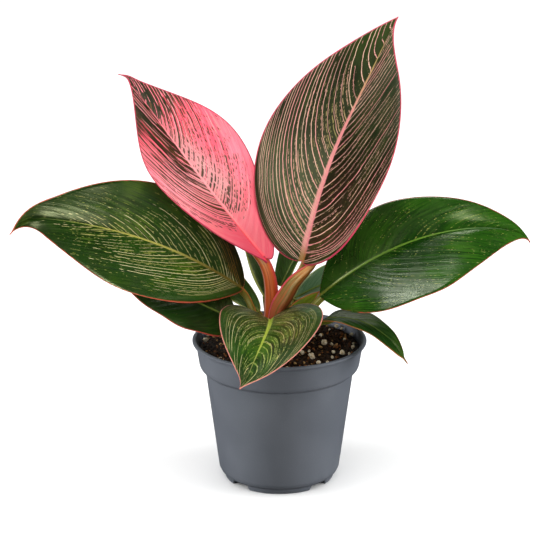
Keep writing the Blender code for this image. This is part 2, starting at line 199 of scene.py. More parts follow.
def cloud(vector, scale, detail=2, rough=0.5):
    return node("TexNoise", dict(Vector=vector, Scale=scale, Detail=detail, Roughness=rough))["Fac"]


def chance(value):
    return node("TexWhiteNoise", dict(W=value), noise_dimensions="1D")["Value"]


def note(tree, name):
    return node("Attribute", {}, tree, attribute_name=name)["Fac"]


def uvParts(tree, layer):
    parts = node("SeparateXYZ", {0: node("UVMap", {}, tree, uv_map=layer)[0]})
    return parts[0], parts[1]


def objectPlace(tree):
    return node("TexCoord", {}, tree)["Object"]


def dress(shader, colour, roughness, height, strength, distance, level=0.5, tint=(1, 1, 1, 1)):
    # colour, roughness, gloss and a bump of height, whose distance is in metres, onto a material's shader
    bump = node("Bump", dict(Strength=strength, Distance=distance, Height=height))[0]
    keys = ("Base Color", "Roughness", "Specular IOR Level", "Specular Tint", "Normal")
    for key, value in zip(keys, (colour, roughness, level, tint, bump)):
        wire(shader.inputs[key], value)


# Leaves. base: where the stalk ends. turn: heading, rise and roll in degrees. bend: degrees by which the midrib
# arches down, sways aside and twists. Pairs: left half, right half. skew: how much wider the left half is. lobe:
# how far the base reaches back. tip: degrees by which the tip drops and turns, and where that starts. sweep to
# until: how side veins leave the midrib; hook to crowding: how they drift and spread; wobble, shiver: waves in
# them (along, across, seed, height). bold, fine, fleck: rows to each half, size (width in mm, breaks along it),
# amount, crowd (how soon crowded rows end), most (the widest share of a row). broad to grain: noise scales per
# metre.
commonLeaf = dict(
    rows=121, columns=29, columnPower=1.5, lobePlace=0.12, shoulderPlace=0.35, archGrowth=1.3, fold=(20, 20),
    cup=10, widest=(0.4, 0.4), taper=(1, 1), shoulder=(0, 0), skew=0, lobe=0.05, tip=(0, 0, 0.86), sweep=2.6,
    bow=0.22, early=0.3, until=0.5, hook=(0.22, 0.22), hookPower=(1.3, 1.3), crowding=(1.5, 1.5), bulge=1.5,
    folds=14, foldDepth=0.16, waves=3, waveHeight=0.6, ridge=1.5, groove=0.5, slot="back_leaf", deep="1A3C10",
    fresh="3A6420", glow="6A8A28", patch="14290C", tint="16330F", lift=1, under="5C7450", rim="B0523A",
    rimWidth=0.7, rib=("7E8A30", "8AA23E", "5C7A34"), ribWidth=1.5, ribTurn=(0.02, 0.2), shine=0.33,
    gloss=(1, 1, 0.55, 1), wobble=(9, 2, 3, 0.03), shiver=(60, 9, 8, 0.012), streaks=(42, 2.2, 5), broad=20,
    fresher=34, uneven=75, glossSize=60, grain=900, glowShare=0.4, tintShare=0.85, lowShare=0.7,
    lowPlace=(0.03, 0.36), tuft=(1.4, -0.7), ribEnd=(0.5, 0.85), ribShare=0.9, rimEdge=(0.5, 1.25),
    roughness=(-0.04, 0.08), halfThick=0.34, thinner=0.2, ridgeWidth=1.6, grooveWidth=0.9,
    bold=dict(rows=(26, 26), size=(0.16, 6), amount=0.2, colours=("B8B878", "CFC890")),
    fine=dict(rows=(40, 40), size=(0.2, 5), amount=0.3, colours=("5F8A34", "7A9A48")),
    fleck=dict(rows=(36, 36), size=(0.19, 30), amount=0.8, colours=("B9BC6C", "DAD29A")),
)
bract = dict(lobe=0, bulge=0.5, folds=3, foldDepth=0.1, waveHeight=0.2, ridge=0.5, groove=0.1, slot="bract")
leaves = dict(
    pink_leaf=dict(
        base=(-11.7, 3.9, 157.8), length=162.5, width=82, turn=(158, 46.5, -33), bend=(8, -10, -3),
        fold=(21.5, 16.5), cup=8, widest=(0.476, 0.486), taper=(2.24, 1.55), shoulder=(0, 2.8), skew=0.05,
        lobe=0.1, tip=(0, 50, 0.93), early=0.5, until=0.7, hook=(0.14, 0.2), crowding=(1.7, 1.8), bulge=1,
        foldDepth=0.12, slot="pink_leaf", deep="FC4A66", fresh="FF8092", glow="FF9682", patch="1C2C08",
        # tint: pale pink of the painted highlight in the middle of the blade
        tint="FFC4C0", lift=1.5, low="D83A54", under="D88A86", rim="D82F55", rimWidth=0.9,
        rib=("F83C54", "FF9AA0", "FF7C8C"), ribWidth=2, ribTurn=(0.08, 0.4), shine=0.45, gloss=(1, 0.9, 0.75, 1),
        bold=dict(rows=(28, 32), size=(0.23, 3), amount=0.9, crowd=0.9, colours=("FF6E84", "FF9CA0")),
        fine=dict(rows=(44, 52), size=(0.36, 26), amount=0.95, crowd=1.9, most=0.28, colours=("2C2204", "784A12")),
        fleck=dict(rows=(32, 38), size=(0.56, 20), amount=0.96, most=0.32, colours=("182004", "4A2E0A")),
    ),
    striped_leaf=dict(
        base=(15.6, -3.6, 156.6), length=182.5, width=122.5, turn=(13.5, 77.5, 35), bend=(60, 9, 8.5),
        fold=(14, 20), cup=9.5, widest=(0.4, 0.385), taper=(1.02, 1.8), skew=-0.15, tip=(-26, -2, 0.485),
        until=0.35, hook=(0.36, 0.16), hookPower=(1.3, 1.4), crowding=(1.6, 2), foldDepth=0.14,
        slot="striped_leaf", deep="061803", fresh="143006", glow="3C5016", patch="0E2007", tint="2A4608",
        under="7A7A55", rim="E63C66", rimWidth=1, rib=("B0783C", "FF9AA0", "D8BC70"), ribWidth=3.7,
        ribTurn=(0.01, 0.08), shine=0.45,
        bold=dict(rows=(25, 32), size=(0.21, 4), amount=1, crowd=0.8, most=0.15, colours=("FFA0A0", "FFD0B4")),
        fine=dict(rows=(50, 64), size=(0.2, 28), amount=0.85, crowd=1.5, most=0.17, colours=("A89854", "F4ACA0")),
        fleck=dict(rows=(78, 96), size=(0.2, 46), amount=0.75, most=0.18, colours=("8E9440", "C89C70")),
    ),
    left_leaf=dict(
        base=(-26.5, 3, 135.2), length=173.5, width=85, turn=(200.5, 38.5, -62), bend=(52, 20, -8.5), fold=(17, 3),
        cup=10.5, widest=(0.43, 0.415), taper=(1.78, 1.43), skew=0.07, tip=(-46, 58, 0.805), hook=(0.45, 0.3),
        hookPower=(1, 1), crowding=(1.6, 1.8), bulge=2, slot="flecked_leaf", deep="113205", fresh="214A09",
        # tint is painted shade at the base of the right half, and shadeLine the colour its lines take in it
        glow="7A981A", patch="12301A", tint="0C1804", shadeLine="A8742C", rim="D4573F",
        rib=("7A6420", "CCC05A", "8AA44C"), ribTurn=(0.1, 0.4),
        bold=dict(rows=(28, 32), size=(0.15, 11), amount=0.88, crowd=1.2, most=0.13, colours=("F4E4AC", "CCC070")),
        fine=dict(rows=(41, 46), size=(0.15, 18), amount=0.7, most=0.14, colours=("A8B43A", "DCCC78")),
        fleck=dict(rows=(34, 40), size=(0.18, 34), amount=0.75, colours=("A8B040", "DCD080")),
    ),
    right_leaf=dict(
        base=(27.5, 2.7, 129.2), length=174, width=99, turn=(9, 39, 28), bend=(68.5, -15, 31), fold=(0.5, 11),
        cup=19, widest=(0.325, 0.245), taper=(1.23, 1.52), shoulder=(0, 4), skew=-0.31, lobe=-0.05,
        tip=(22, 7, 0.835), early=0.9, until=0.7, hook=(0.05, 0.25), bulge=3, foldDepth=0.06, slot="glossy_leaf",
        deep="17400C", fresh="2C5E10", glow="4E8420", rim="C4503E", rib=("8A9430", "7EAA3C", "8AA884"), shine=0.22,
        fine=dict(rows=(44, 44), size=(0.17, 4), amount=0.36, colours=("4E7A1C", "6A942C")),
        fleck=dict(rows=(38, 38), size=(0.17, 50), amount=0.85, colours=("B9BC50", "E4DC90")),
    ),
    front_leaf=dict(
        base=(-6, -31.4, 123.7), length=83.8, width=72, turn=(269, 6.5, 1), bend=(47, -27.5, -6.5),
        fold=(14, 11.5), cup=5.5, widest=(0.43, 0.31), taper=(0.96, 1.16), skew=0.06, lobe=0.42,
        tip=(10, -45, 0.83), early=0, hook=(0.8, 0.8), hookPower=(1.6, 1.6), crowding=(1, 1), folds=9,
        foldDepth=0.25, waves=2, waveHeight=0.4, ridge=1, slot="flecked_leaf", deep="123807", fresh="22560C",
        # tint: painted sheen on the lobes at the base
        glow="5C8A18", patch="1A4022", tint="303812", rim="F4988A", rib=("A0B83A", "C4D452", "B8C06C"),
        ribWidth=2.1, shine=0.36,
        bold=dict(rows=(7, 6), size=(0.12, 3), amount=0.9, most=0.1, crowd=1.2, colours=("F0E0A4", "E4D488")),
        fine=dict(rows=(17, 15), size=(0.15, 20), amount=0.72, most=0.16, crowd=1.2, colours=("A8B840", "E0D488")),
        fleck=dict(rows=(31, 29), size=(0.22, 44), amount=0.85, crowd=1.2, colours=("A0B448", "D0D480")),
    ),
    drooping_leaf=dict(
        base=(31.8, -5.9, 116), length=71, width=36.5, turn=(-28.5, 14.5, 1), bend=(79, -7.5, -6.5),
        fold=(0.5, 5.5), cup=7, widest=(0.19, 0.355), taper=(0.81, 1.05), skew=-0.05, lobe=0.035,
        tip=(-11, 38, 0.865), bulge=1.2, folds=6, foldDepth=0.3, waveHeight=0.3, ridge=1, slot="glossy_leaf",
        deep="153A0E", fresh="2A5212", rim="B86A34", rib=("8E9A34", "8AA23E", "5C7A34"),
    ),
    lower_left_leaf=dict(
        base=(-29.8, -4.3, 112.8), length=86, width=60.5, turn=(197, 34.5, -36), bend=(20, 11, -2), fold=(8, 8.5),
        cup=5.5, widest=(0.45, 0.45), taper=(0.84, 1.08), skew=0.01, lobe=0.035, tip=(-1, 1, 0.86),
        slot="glossy_leaf", deep="0E2A08", fresh="1E420C", glow="3A5A1A", rim="C8443A",
    ),
    # the back leaves are painted paler than the front ones, as painted light against the shade they sit in;
    # back_right_leaf's pale grey-green is also a painted sheen
    back_left_leaf=dict(
        base=(-9, 12, 124), length=84, width=16.5, turn=(106, 62, -8), bend=(10, 5, 0), fold=(16, 14), cup=6.5,
        widest=(0.47, 0.47), taper=(1.4, 1.4), skew=0.35, tip=(6, 12, 0.85), deep="34582A", fresh="5E8448",
        rim="B0B850", rimWidth=0.9,
    ),
    back_middle_leaf=dict(
        base=(1.5, 17, 132), length=84, width=40, turn=(30, 60, -8), bend=(4, 0, 0), fold=(10, 14), cup=5,
        widest=(0.38, 0.38), taper=(1.2, 1.2), deep="2A4E1A", fresh="44702A", rim="8E9A50",
    ),
    back_right_leaf=dict(
        base=(10.5, 16, 123), length=109, width=46, turn=(52, 5.5, 30), bend=(40, 0, 0), fold=(32, 26), cup=6,
        widest=(0.45, 0.45), taper=(1.4, 1.4), skew=-0.45, tip=(3, 0, 0.86), deep="4E7A52", fresh="7EA078",
        glow="8EAA70", rim="9EAA60",
    ),
    back_side_leaf=dict(
        base=(-14.5, 7.5, 117), length=96, width=22, turn=(146, 32, -30), bend=(32, -3, 0), fold=(14, 14), cup=6,
        widest=(0.38, 0.38), taper=(1.4, 1.4), lobe=0.045, tip=(1, -3, 0.86), early=0.5, until=0.7, deep="2A5218",
        fresh="4A7428", rim="A8A850",
    ),
    right_bract=bract | dict(
        base=(0.9, 4.6, 107.5), length=36, width=11.5, turn=(13, 43, 65), bend=(20, -6, 0), deep="6E8414",
        fresh="96A81E", glow="AAB628", rim="D8703A",
    ),
    left_bract=bract | dict(
        base=(-8, -9, 107), length=22, width=9, turn=(192, 42, -40), bend=(10, 0, 0), deep="6A2A10",
        fresh="8A3A18", rim="E04838",
    ),
)
leaves = {name: commonLeaf | leaf for name, leaf in leaves.items()}


def bladeOutline(leaf, q, v):
    # Flat blade as (along, across). q runs from base to tip along the margin, v from the right margin (-1)
    # over the midrib (0) to the left one (1). Half width is a beta curve, wider by shoulder near the base,
    # which reaches back by lobe. Each line of constant q starts on the midrib at length * q^sweep, or nearer
    # to length * q where early is above 0, and bows out to the margin.
    left = v >= 0
    widest, taper, shoulder = (np.where(left, *leaf[key]) for key in ("widest", "taper", "shoulder"))
    half = 0.5 * leaf["width"] * (1 + np.where(left, 1, -1) * leaf["skew"])
    marginAcross = half * (q / widest) ** (taper * widest / (1 - widest)) * ((1 - q) / (1 - widest)) ** taper
    rest = np.clip(1 - q / leaf["shoulderPlace"], 0, 1)
    marginAcross = marginAcross + 3.5 * shoulder * np.sqrt(1 - rest) * rest**2
    place = leaf["lobePlace"]
    back = leaf["lobe"] * np.sqrt(q / place) * np.exp((1 - (q / place) ** 1.5) / 3) * (1 - q)
    marginAlong = leaf["length"] * (q - back)
    early = leaf["early"] * (1 - ease(0, leaf["until"], q))
    veinStart = leaf["length"] * (q ** leaf["sweep"] * (1 - early) + q * early)
    reach = np.abs(v)
    bow = leaf["bow"] * (1 - early)
    rise, spread = (2 * (0.5 + part) * reach * (1 - reach) + reach**2 for part in (-bow, bow))
    return veinStart + (marginAlong - veinStart) * rise, marginAcross * spread * np.sign(v)


def veinPhase(leaf, q, v):
    # number of the side vein that passes here, 0 at the base to 1 at the tip: q^crowding, while veins drift
    # towards the tip by hook * reach^hookPower on their way to the margin
    hook, power, crowding = (np.where(v >= 0, *leaf[key]) for key in ("hook", "hookPower", "crowding"))
    drift = hook * np.abs(v) ** power
    return (q**crowding - drift) / (1 - drift)


def veinPitch(leaf, along, across, q, v):
    # millimetres on the flat blade for one unit of vein phase: 1 / |gradient of the phase|, from 2 to 260
    grids = (veinPhase(leaf, q, v), along, across)
    dq, dv = zip(*(np.gradient(values) for values in grids))
    area = dq[1] * dv[2] - dq[2] * dv[1]
    area = np.where(np.abs(area) < 1e-6, 1e-6, area)
    slopeAlong = (dq[0] * dv[2] - dv[0] * dq[2]) / area
    slopeAcross = (dv[0] * dq[1] - dq[0] * dv[1]) / area
    return np.clip(1 / np.maximum(np.hypot(slopeAlong, slopeAcross), 1e-6), 2, 260)


def midribFrame(leaf, along):
    # The bent midrib: points, sideways and upward directions. Pitch falls by arch * u^growth and heading turns
    # by sway * u, the tip drops and turns further, and points are the running sum of the directions.
    places = np.linspace(-0.5, 1, 400)
    u = np.clip(places, 0, 1)
    arch, sway, twist = np.radians(leaf["bend"])
    tipDrop, tipTurn = np.radians(leaf["tip"][:2])
    tip = ease(leaf["tip"][2], 1, u)
    pitch = -arch * u ** leaf["archGrowth"] - tipDrop * tip
    turn = sway * u + tipTurn * tip
    forward = np.stack([np.cos(pitch) * np.cos(turn), np.cos(pitch) * np.sin(turn), np.sin(pitch)], 1)
    steps = (forward[1:] + forward[:-1]) / 2 * np.diff(places)[:, None] * leaf["length"]
    points = np.concatenate([np.zeros((1, 3)), np.cumsum(steps, axis=0)])
    sideways = np.stack([-np.sin(turn), np.cos(turn), 0 * turn], 1)
    upward = np.cross(forward, sideways)
    wind = twist * u[:, None]
    sides = sideways * np.cos(wind) + upward * np.sin(wind)
    ups = upward * np.cos(wind) - sideways * np.sin(wind)

    def read(values, wanted):
        return np.stack([np.interp(wanted, places, column) for column in values.T], -1)

    share = along / leaf["length"]
    return read(points, share) - read(points, 0), read(sides, share), read(ups, share)


def bladeTurn(leaf):
    # roll about the midrib, then rise, then heading, each turning its first axis towards its second one
    whole = np.eye(3)
    for (first, second), angle in zip(((0, 1), (0, 2), (1, 2)), np.radians(leaf["turn"])):
        turn = np.eye(3)
        turn[first, first] = turn[second, second] = math.cos(angle)
        turn[second, first], turn[first, second] = math.sin(angle), -math.sin(angle)
        whole = whole @ turn
    return whole


def bladeSheet(leaf, q, v):
    # The blade bent along its midrib, folded up at the midrib, cupped, bulged between midrib and margin,
    # corrugated by its side veins and waved at its margin. Returns places, along and across.
    along, across = bladeOutline(leaf, q, v)
    points, sides, ups = midribFrame(leaf, along)
    fold = np.where(v >= 0, *leaf["fold"])
    lift = np.radians(fold + leaf["cup"] * np.abs(across) / leaf["width"])
    reach = np.abs(v)
    ends = np.sin(math.pi * np.clip(q, 0, 1)) ** 0.5
    ripples = np.cos(fullTurn * leaf["folds"] * veinPhase(leaf, q, v))
    swell = (leaf["bulge"] + leaf["foldDepth"] * ripples) * 4 * reach * (1 - reach) * ends
    wave = leaf["waveHeight"] * np.sin(fullTurn * leaf["waves"] * q + np.where(v >= 0, 0.7, 2.9))
    swell = swell + wave * reach**3 * ends
    points = points + sides * (across * np.cos(lift) - np.sign(v) * swell * np.sin(lift))[..., None]
    points = points + ups * (np.abs(across) * np.sin(lift) + swell * np.cos(lift))[..., None]
    return points @ bladeTurn(leaf).T + leaf["base"], along, across


def gapToMargin(leaf, along, across):
    # distance on the flat blade to the nearest of 400 places along the margin
    ring = np.linspace(0.0005, 0.9995, 200)
    edge = [np.stack(bladeOutline(leaf, ring, np.full_like(ring, side)), -1) for side in (-1.0, 1.0)]
    edge = np.concatenate(edge)
    flat = np.stack([along, across], -1).reshape(-1, 1, 2)
    gaps = [np.linalg.norm(part - edge, axis=-1).min(1) for part in np.array_split(flat, 8)]
    return np.concatenate(gaps).reshape(along.shape)


def bladeMarks(name, q, v, u):
    # Over one blade, from 0 to 1: where it takes its tint (a painted highlight on the pink leaf, painted shade
    # on the left one, a painted sheen on the front one's lobes), where streaks of its patch colour lie, and how
    # thickly the bold lines, the fine ones and the flecks lie. u runs along the midrib, q along the margin.
    reach = np.abs(v)
    left = np.where(v >= 0, 1.0, 0.0)
    right = 1 - left
    tint, patch = 0, 0.3
    bold, fine, fleck = 0.05, 0.22, 0.1
    if name == "pink_leaf":  # a pale middle, painted as a highlight, and dark green streaks that close up towards the tip
        tint = 0.9 * hill(u, 0.42, 0.26) * hill(v, -0.16, 0.2)
        tint = tint + 0.6 * left * hill(u, 0.38, 0.24) * (1 - 0.5 * ease(0.4, 0.95, reach))
        solid = left * hill(u, 0.72, 0.14) * hill(reach, 0.2, 0.3)
        end = ease(0.56, 0.86, u) * (1 - (0.2 + 0.25 * left) * ease(0.4, 0.9, reach))
        inside = left * ease(0.24, 0.5, u) * 0.5 * (1 - 0.4 * ease(0.6, 1, reach))
        patch = np.clip(0.9 * solid + 0.9 * end + inside, 0, 1)
        tip = ease(0.5, 0.9, u)
        wedge = (1 - ease(0.15, 0.6, reach)) * ease(0.2, 0.4, u)
        body = ease(0.2, 0.42, q)
        dark = left * (0.58 + 0.35 * ease(0.3, 0.55, q) + 0.2 * wedge) * body
        pale = 0.5 * body + 0.1 * ease(0.3, 0.6, q) - 0.3 * ease(0.7, 0.95, reach) * (1 - tip)
        fine = np.clip(dark + right * pale + 0.5 * tip, 0, 1.1)
        bold, fleck = (0.6 + 0.08 * tip) * ease(0.02, 0.34, u), fine * 0.95
    elif name == "striped_leaf":
        tint, near = ease(0.7, 0.98, u), 1 - ease(0.6, 0.9, u)
        bold = 0.68 + 0.08 * left + 0.18 * near
        fine, fleck = (0.22 + 0.14 * left) * near + 0.18, (0.22 + 0.12 * left) * near + 0.14
    elif name == "left_leaf":  # painted shade at the base of its right half, with its lines there turned tan
        tint = right * (1 - ease(0.22, 0.5, q)) * ease(0, 0.25, reach)
        patch = 0.28 + 0.12 * ease(0.5, 0.9, reach)
        base = 1 - ease(0.35, 0.9, u)
        shade = right * (1 - ease(0.1, 0.4, q))
        inner = 1 - ease(0.25 + 0.2 * left, 0.85 + 0.25 * left, reach)
        bold = (0.18 + 0.5 * base) * inner + 0.12 + 0.2 * shade
        fine, fleck = 0.36 + 0.1 * left * base, 0.42 + 0.04 * left * base - 0.1 * shade
    elif name == "front_leaf":
        # painted sheen: an olive-brown tint over the lobes at the base
        tint = 1 - ease(0.1, 0.34, q)
        bold, fine, fleck = 0.78 - 0.6 * ease(0.4, 0.75, u) * (1 - reach), 0.42, 0.55
    elif name == "right_leaf":
        bold, fine, fleck = 0.1, 0.4, 0.38 - 0.04 * left
    elif name in ("lower_left_leaf", "back_side_leaf", "back_left_leaf"):
        bold, fine, fleck = 0.1, 0.25, 0.26
    return dict(tint=tint, patch=patch, bold=bold, fine=fine, fleck=fleck)


def makeLeaf(name, leaf):
    # two skins half a thickness off the sheet, with a groove above the midrib and a ridge below it
    q = 0.0004 + 0.9992 * (0.5 - 0.5 * np.cos(np.linspace(0, math.pi, leaf["rows"])))[:, None]
    s = np.linspace(-1, 1, 2 * leaf["columns"] - 1)
    v = (np.sign(s) * np.abs(s) ** leaf["columnPower"])[None, :]
    q, v = np.broadcast_arrays(q, v)
    sheet, along, across = bladeSheet(leaf, q, v)
    normals = unit(np.cross(np.gradient(sheet, axis=0), np.gradient(sheet, axis=1)))
    normals[0], normals[-1] = normals[2], normals[-3]
    u = np.clip(along / leaf["length"], 0, 1)
    thick = leaf["halfThick"] - leaf["thinner"] * np.abs(v) ** 6
    scale = leaf["length"] / 170  # the widths are for a leaf of 170 mm
    ridge = leaf["ridge"] * (1 - u) ** 0.7 * hill(across, 0, leaf["ridgeWidth"] * scale)
    groove = leaf["groove"] * ease(0, 0.12, u) * (1 - u) ** 0.6
    groove = groove * hill(across, 0, leaf["grooveWidth"] * scale)
    top = sheet + normals * (thick - groove)[..., None]
    bottom = sheet - normals * (thick + ridge)[..., None]

    def closed(above, below):
        return np.concatenate([above, below[:, ::-1]], axis=1)

    notes = dict(ribGap=np.abs(across), edgeGap=gapToMargin(leaf, along, across), along=u)
    notes.update(pitch=veinPitch(leaf, along, across, q, v), **bladeMarks(name, q, v, u))
    for key, values in notes.items():
        values = np.broadcast_to(values, u.shape)
        notes[key] = closed(values, values)
    notes["upper"] = closed(np.ones_like(u), np.zeros_like(u))
    veins = np.stack([q, 0.5 + 0.5 * v], -1)
    ring = np.concatenate([closed(veins, veins), veins[:, :1]], axis=1)
    piece = skin(name + "_blade", closed(top, bottom), ("veins", ring), notes)
    settle(piece, leafMaterial(name, leaf), leaf["slot"], name)


def either(side, pair):
    # the first of the pair on the left half, the second on the right one
    return times(side, pair[0] - pair[1], pair[1])


# how rows differ: chance numbers apart, middle of the line, breaks along it, width, edge, room to a neighbour
dashLook = dict(
    crowd=1.6, most=0.2, sideStep=517, toneStep=0.37, middle=(0.3, 0.35), breakStep=3.7, need=(-0.62, 0.86),
    needLuck=(0.16, -0.08), breakEdge=0.035, widthLuck=(0.9, 0.5), narrowing=(-0.5, 1.25), edge=(0.5, 1.3),
    room=(0.22, 0.45),
)


def dashes(phase, pitch, reach, side, density, look, seed):
    # Lines along the veins, widest at the midrib, off the middle of their rows by chance, and broken into dashes
    # where density is low. Where rows crowd together some of them end. Returns how much of a dash is here, and
    # the chance number of its row.
    look = dashLook | look
    thick, long = look["size"]
    rows = either(side, look["rows"])
    place = times(phase, rows)
    row = times(side, look["sideStep"], calc("ADD", calc("FLOOR", place), seed))
    luck = chance(row)
    tone = chance(calc("ADD", row, look["toneStep"]))
    offset = calc("ABSOLUTE", minus(calc("FRACT", place), times(tone, *look["middle"])))
    breaks = cloud(spot(times(row, look["breakStep"]), times(reach, long), seed), 1, 2, 0.6)
    need = minus(times(density, *look["need"]), times(luck, *look["needLuck"]))
    keep = step(minus(breaks, need), -look["breakEdge"], look["breakEdge"])
    width = times(times(luck, *look["widthLuck"]), times(reach, *look["narrowing"]))
    width = times(times(width, thick), rows)
    width = calc("MINIMUM", calc("DIVIDE", width, pitch), look["most"])
    line = step(offset, times(width, look["edge"][0]), times(width, look["edge"][1]), 1, 0)
    room = times(luck, -look["crowd"], calc("DIVIDE", pitch, rows))
    keep = times(keep, step(room, *look["room"]))
    return times(times(line, keep), look["amount"]), tone


def leafMaterial(name, leaf):
    material, tree, shader = newMaterial(name + " skin")
    q, w = uvParts(tree, "veins")
    v = times(w, 2, -1)
    reach = calc("ABSOLUTE", v)
    side = calc("GREATER_THAN", v, 0)
    keys = "ribGap edgeGap along upper pitch tint patch".split()
    ribGap, edgeGap, along, upper, pitch, tint, patch = (note(tree, key) for key in keys)
    # vein phase, as veinPhase works it out, with a slight wobble
    drift = times(calc("POWER", reach, either(side, leaf["hookPower"])), either(side, leaf["hook"]))
    phase = minus(calc("POWER", q, either(side, leaf["crowding"])), drift)
    phase = calc("DIVIDE", phase, minus(1, drift))
    for key in ("wobble", "shiver"):
        byAlong, byAcross, seed, height = leaf[key]
        phase = times(cloud(spot(times(q, byAlong), times(v, byAcross), seed), 1), height, phase)
    # ground: clouded over centimetres, streaked along the side veins
    place = objectPlace(tree)
    byPhase, byReach, bySide = leaf["streaks"]
    streak = cloud(spot(times(phase, byPhase), times(reach, byReach), times(side, bySide)), 1, 3, 0.6)
    blend = times(cloud(place, leaf["broad"], 3), 0.55, times(streak, 0.45))
    lift = leaf["lift"]
    colour = mixed(step(blend, 0.4, 0.6), paint(leaf["deep"], lift), paint(leaf["fresh"], lift))
    glow = step(times(cloud(place, leaf["fresher"]), 0.5, times(streak, 0.5)), 0.5, 0.66)
    colour = mixed(times(glow, leaf["glowShare"]), colour, paint(leaf["glow"], lift))
    # tint: a painted highlight on the pink leaf, painted shade on the left leaf, a painted sheen on the front leaf
    colour = mixed(times(tint, leaf["tintShare"]), colour, leaf["tint"])
    if "low" in leaf:
        low = minus(1, step(along, *leaf["lowPlace"]))
        colour = mixed(times(low, leaf["lowShare"]), colour, paint(leaf["low"], lift))
    tuft = times(streak, leaf["tuft"][0], calc("ADD", patch, leaf["tuft"][1]))
    colour = mixed(step(tuft, 0.42, 0.62), colour, leaf["patch"])
    uneven = times(cloud(place, leaf["uneven"]), 0.9, 0.55)
    for layer, seed in (("fleck", 11), ("fine", 29), ("bold", 53)):
        density = times(note(tree, layer), uneven)
        mask, tone = dashes(phase, pitch, reach, side, density, leaf[layer], seed)
        line = mixed(tone, *(paint(code, lift if layer == "bold" else 1) for code in leaf[layer]["colours"]))
        # lines inside the painted shade take the shadeLine colour
        if "shadeLine" in leaf:
            line = mixed(step(tint, 0.15, 0.6), line, leaf["shadeLine"])
        colour = mixed(mask, colour, line)
    # midrib, wide at the base and gone at the tip
    base, middle, end = (paint(code, lift) for code in leaf["rib"])
    ribColour = mixed(step(along, *leaf["ribTurn"]), base, middle)
    ribColour = mixed(step(along, *leaf["ribEnd"]), ribColour, end)
    ribEdge = times(calc("POWER", minus(1, along), 1.1), leaf["ribWidth"])
    ribEdge = times(ribEdge, times(streak, 1.1, 0.5))
    ribMask = minus(1, step(ribGap, times(ribEdge, 0.55), calc("ADD", ribEdge, 0.12)))
    colour = mixed(times(ribMask, leaf["ribShare"]), colour, ribColour)
    # underside and margin
    colour = mixed(minus(1, upper), colour, leaf["under"])
    rimMask = minus(1, step(edgeGap, *(leaf["rimWidth"] * share for share in leaf["rimEdge"])))
    colour = mixed(rimMask, colour, leaf["rim"])
    gloss = (leaf["shine"] + part for part in leaf["roughness"])
    roughness = step(cloud(place, leaf["glossSize"]), 0.3, 0.7, *gloss)
    # side veins a little raised over fine grain
    height = times(cloud(place, leaf["grain"]), 0.3, streak)
    dress(shader, colour, roughness, height, 0.3, 0.0005, level=0.55, tint=leaf["gloss"])
    return material


for name, leaf in leaves.items():
    makeLeaf(name, leaf)
print("leaves made:", len(leaves))

# Stalks: start, or the side and height where it leaves the stem; radii at foot and blade; climb in degrees; how
# far the curve runs on straight from its foot and before its blade.
stalkShapes = dict(
    striped_leaf=dict(start=(5.5, 0.6, 133), side=30, radii=(2.2, 2.2), climb=72, reach=(8, 10)),
    pink_leaf=dict(start=(-5, 2.2, 110.6), side=180, radii=(4.2, 3), climb=86, reach=(14, 16)),
    left_leaf=dict(side=190, height=104, radii=(2.4, 2.2), climb=45, reach=(10, 14)),
    right_leaf=dict(side=5, height=100, radii=(2.8, 2.6), climb=45, reach=(12, 12)),
    front_leaf=dict(side=265, height=100.5, radii=(2.6, 2.2), climb=45, reach=(12, 10)),
    drooping_leaf=dict(side=318, height=100, radii=(2.2, 2), climb=35, reach=(12, 12)),
    lower_left_leaf=dict(side=212, height=100, radii=(2.3, 2.1), climb=35, reach=(10, 8)),
    back_left_leaf=dict(side=112, height=100, radii=(2.5, 2.3), climb=60, reach=(12, 10)),
    back_middle_leaf=dict(side=70, height=101, radii=(2.4, 2.2), climb=60, reach=(16, 12)),
    back_right_leaf=dict(side=38, height=100, radii=(2.5, 2.3), climb=50, reach=(14, 10)),
    back_side_leaf=dict(side=152, height=101, radii=(2.5, 2.3), climb=50, reach=(6, 5)),
)
stalkEnd = dict(  # shares of the blade's length and of the stalk's radius, where it thins out under the midrib
    places=(0.004, 0.02, 0.05, 0.09, 0.14, 0.2, 0.27), radii=(1, 0.97, 0.82, 0.62, 0.45, 0.32, 0.2), gap=0.15
)
stemShape = dict(
    route=((0, 0, 84.5), (-0.5, 0, 94), (-3, 1, 102), (-5, 1.5, 109)), radii=(8.7, 8, 6.5, 4), gap=0.3
)
sheathShape = dict(
    route=(
        (-4.5, -7, 109), (-1.4, -7.5, 123), (3.5, -7.8, 132.5), (10, -8, 143), (18.5, -8.5, 151.5),
        (25, -9.5, 157),
    ),
    radii=(4, 5.4, 5.7, 4.8, 3.2, 1.4),
)
plainStalk = dict(
    foot="7A7A28", top="9A9A38", left="B4AC54", leftAt=0.3, leftWide=0.07, right="C0843C", rightAt=0.71,
    rightWide=0.08, streak="63641E", shine=0.36,
)
stalkLooks = dict(
    pink_leaf=dict(foot="D8501A", top="F67C3C", left="FFB0A0", right="F04A54", rightWide=0.14, streak="B44818"),
    striped_leaf=dict(foot="A08A48", top="D09A5C", left="E0A878", right="C89058", streak="7E6C34"),
    left_leaf=dict(foot="807828", top="A08A34", left="A09A3C", right="E88440", streak="66581C"),
    right_leaf=dict(foot="9A9830", top="B0AC40", left="C0B858"),
    front_leaf=dict(foot="7A7C2C", top="98A040"),
    drooping_leaf=dict(foot="666422", top="848A2C"),
    lower_left_leaf=dict(foot="5C5A20", top="5E5A26"),
    # its right band is painted shade: a wide dark brown band on the sheath's underside
    sheath=dict(
        foot="B04C34", top="C8702C", left="F0506A", leftAt=0.27, leftWide=0.06, right="26160A", rightAt=0.78,
        rightWide=0.38, streak="7A5C18",
    ),
    stem=dict(foot="5A4A24", top="6E6430", left="7A6C3A", right="8A5A30", streak="3A2C14", shine=0.6),
)


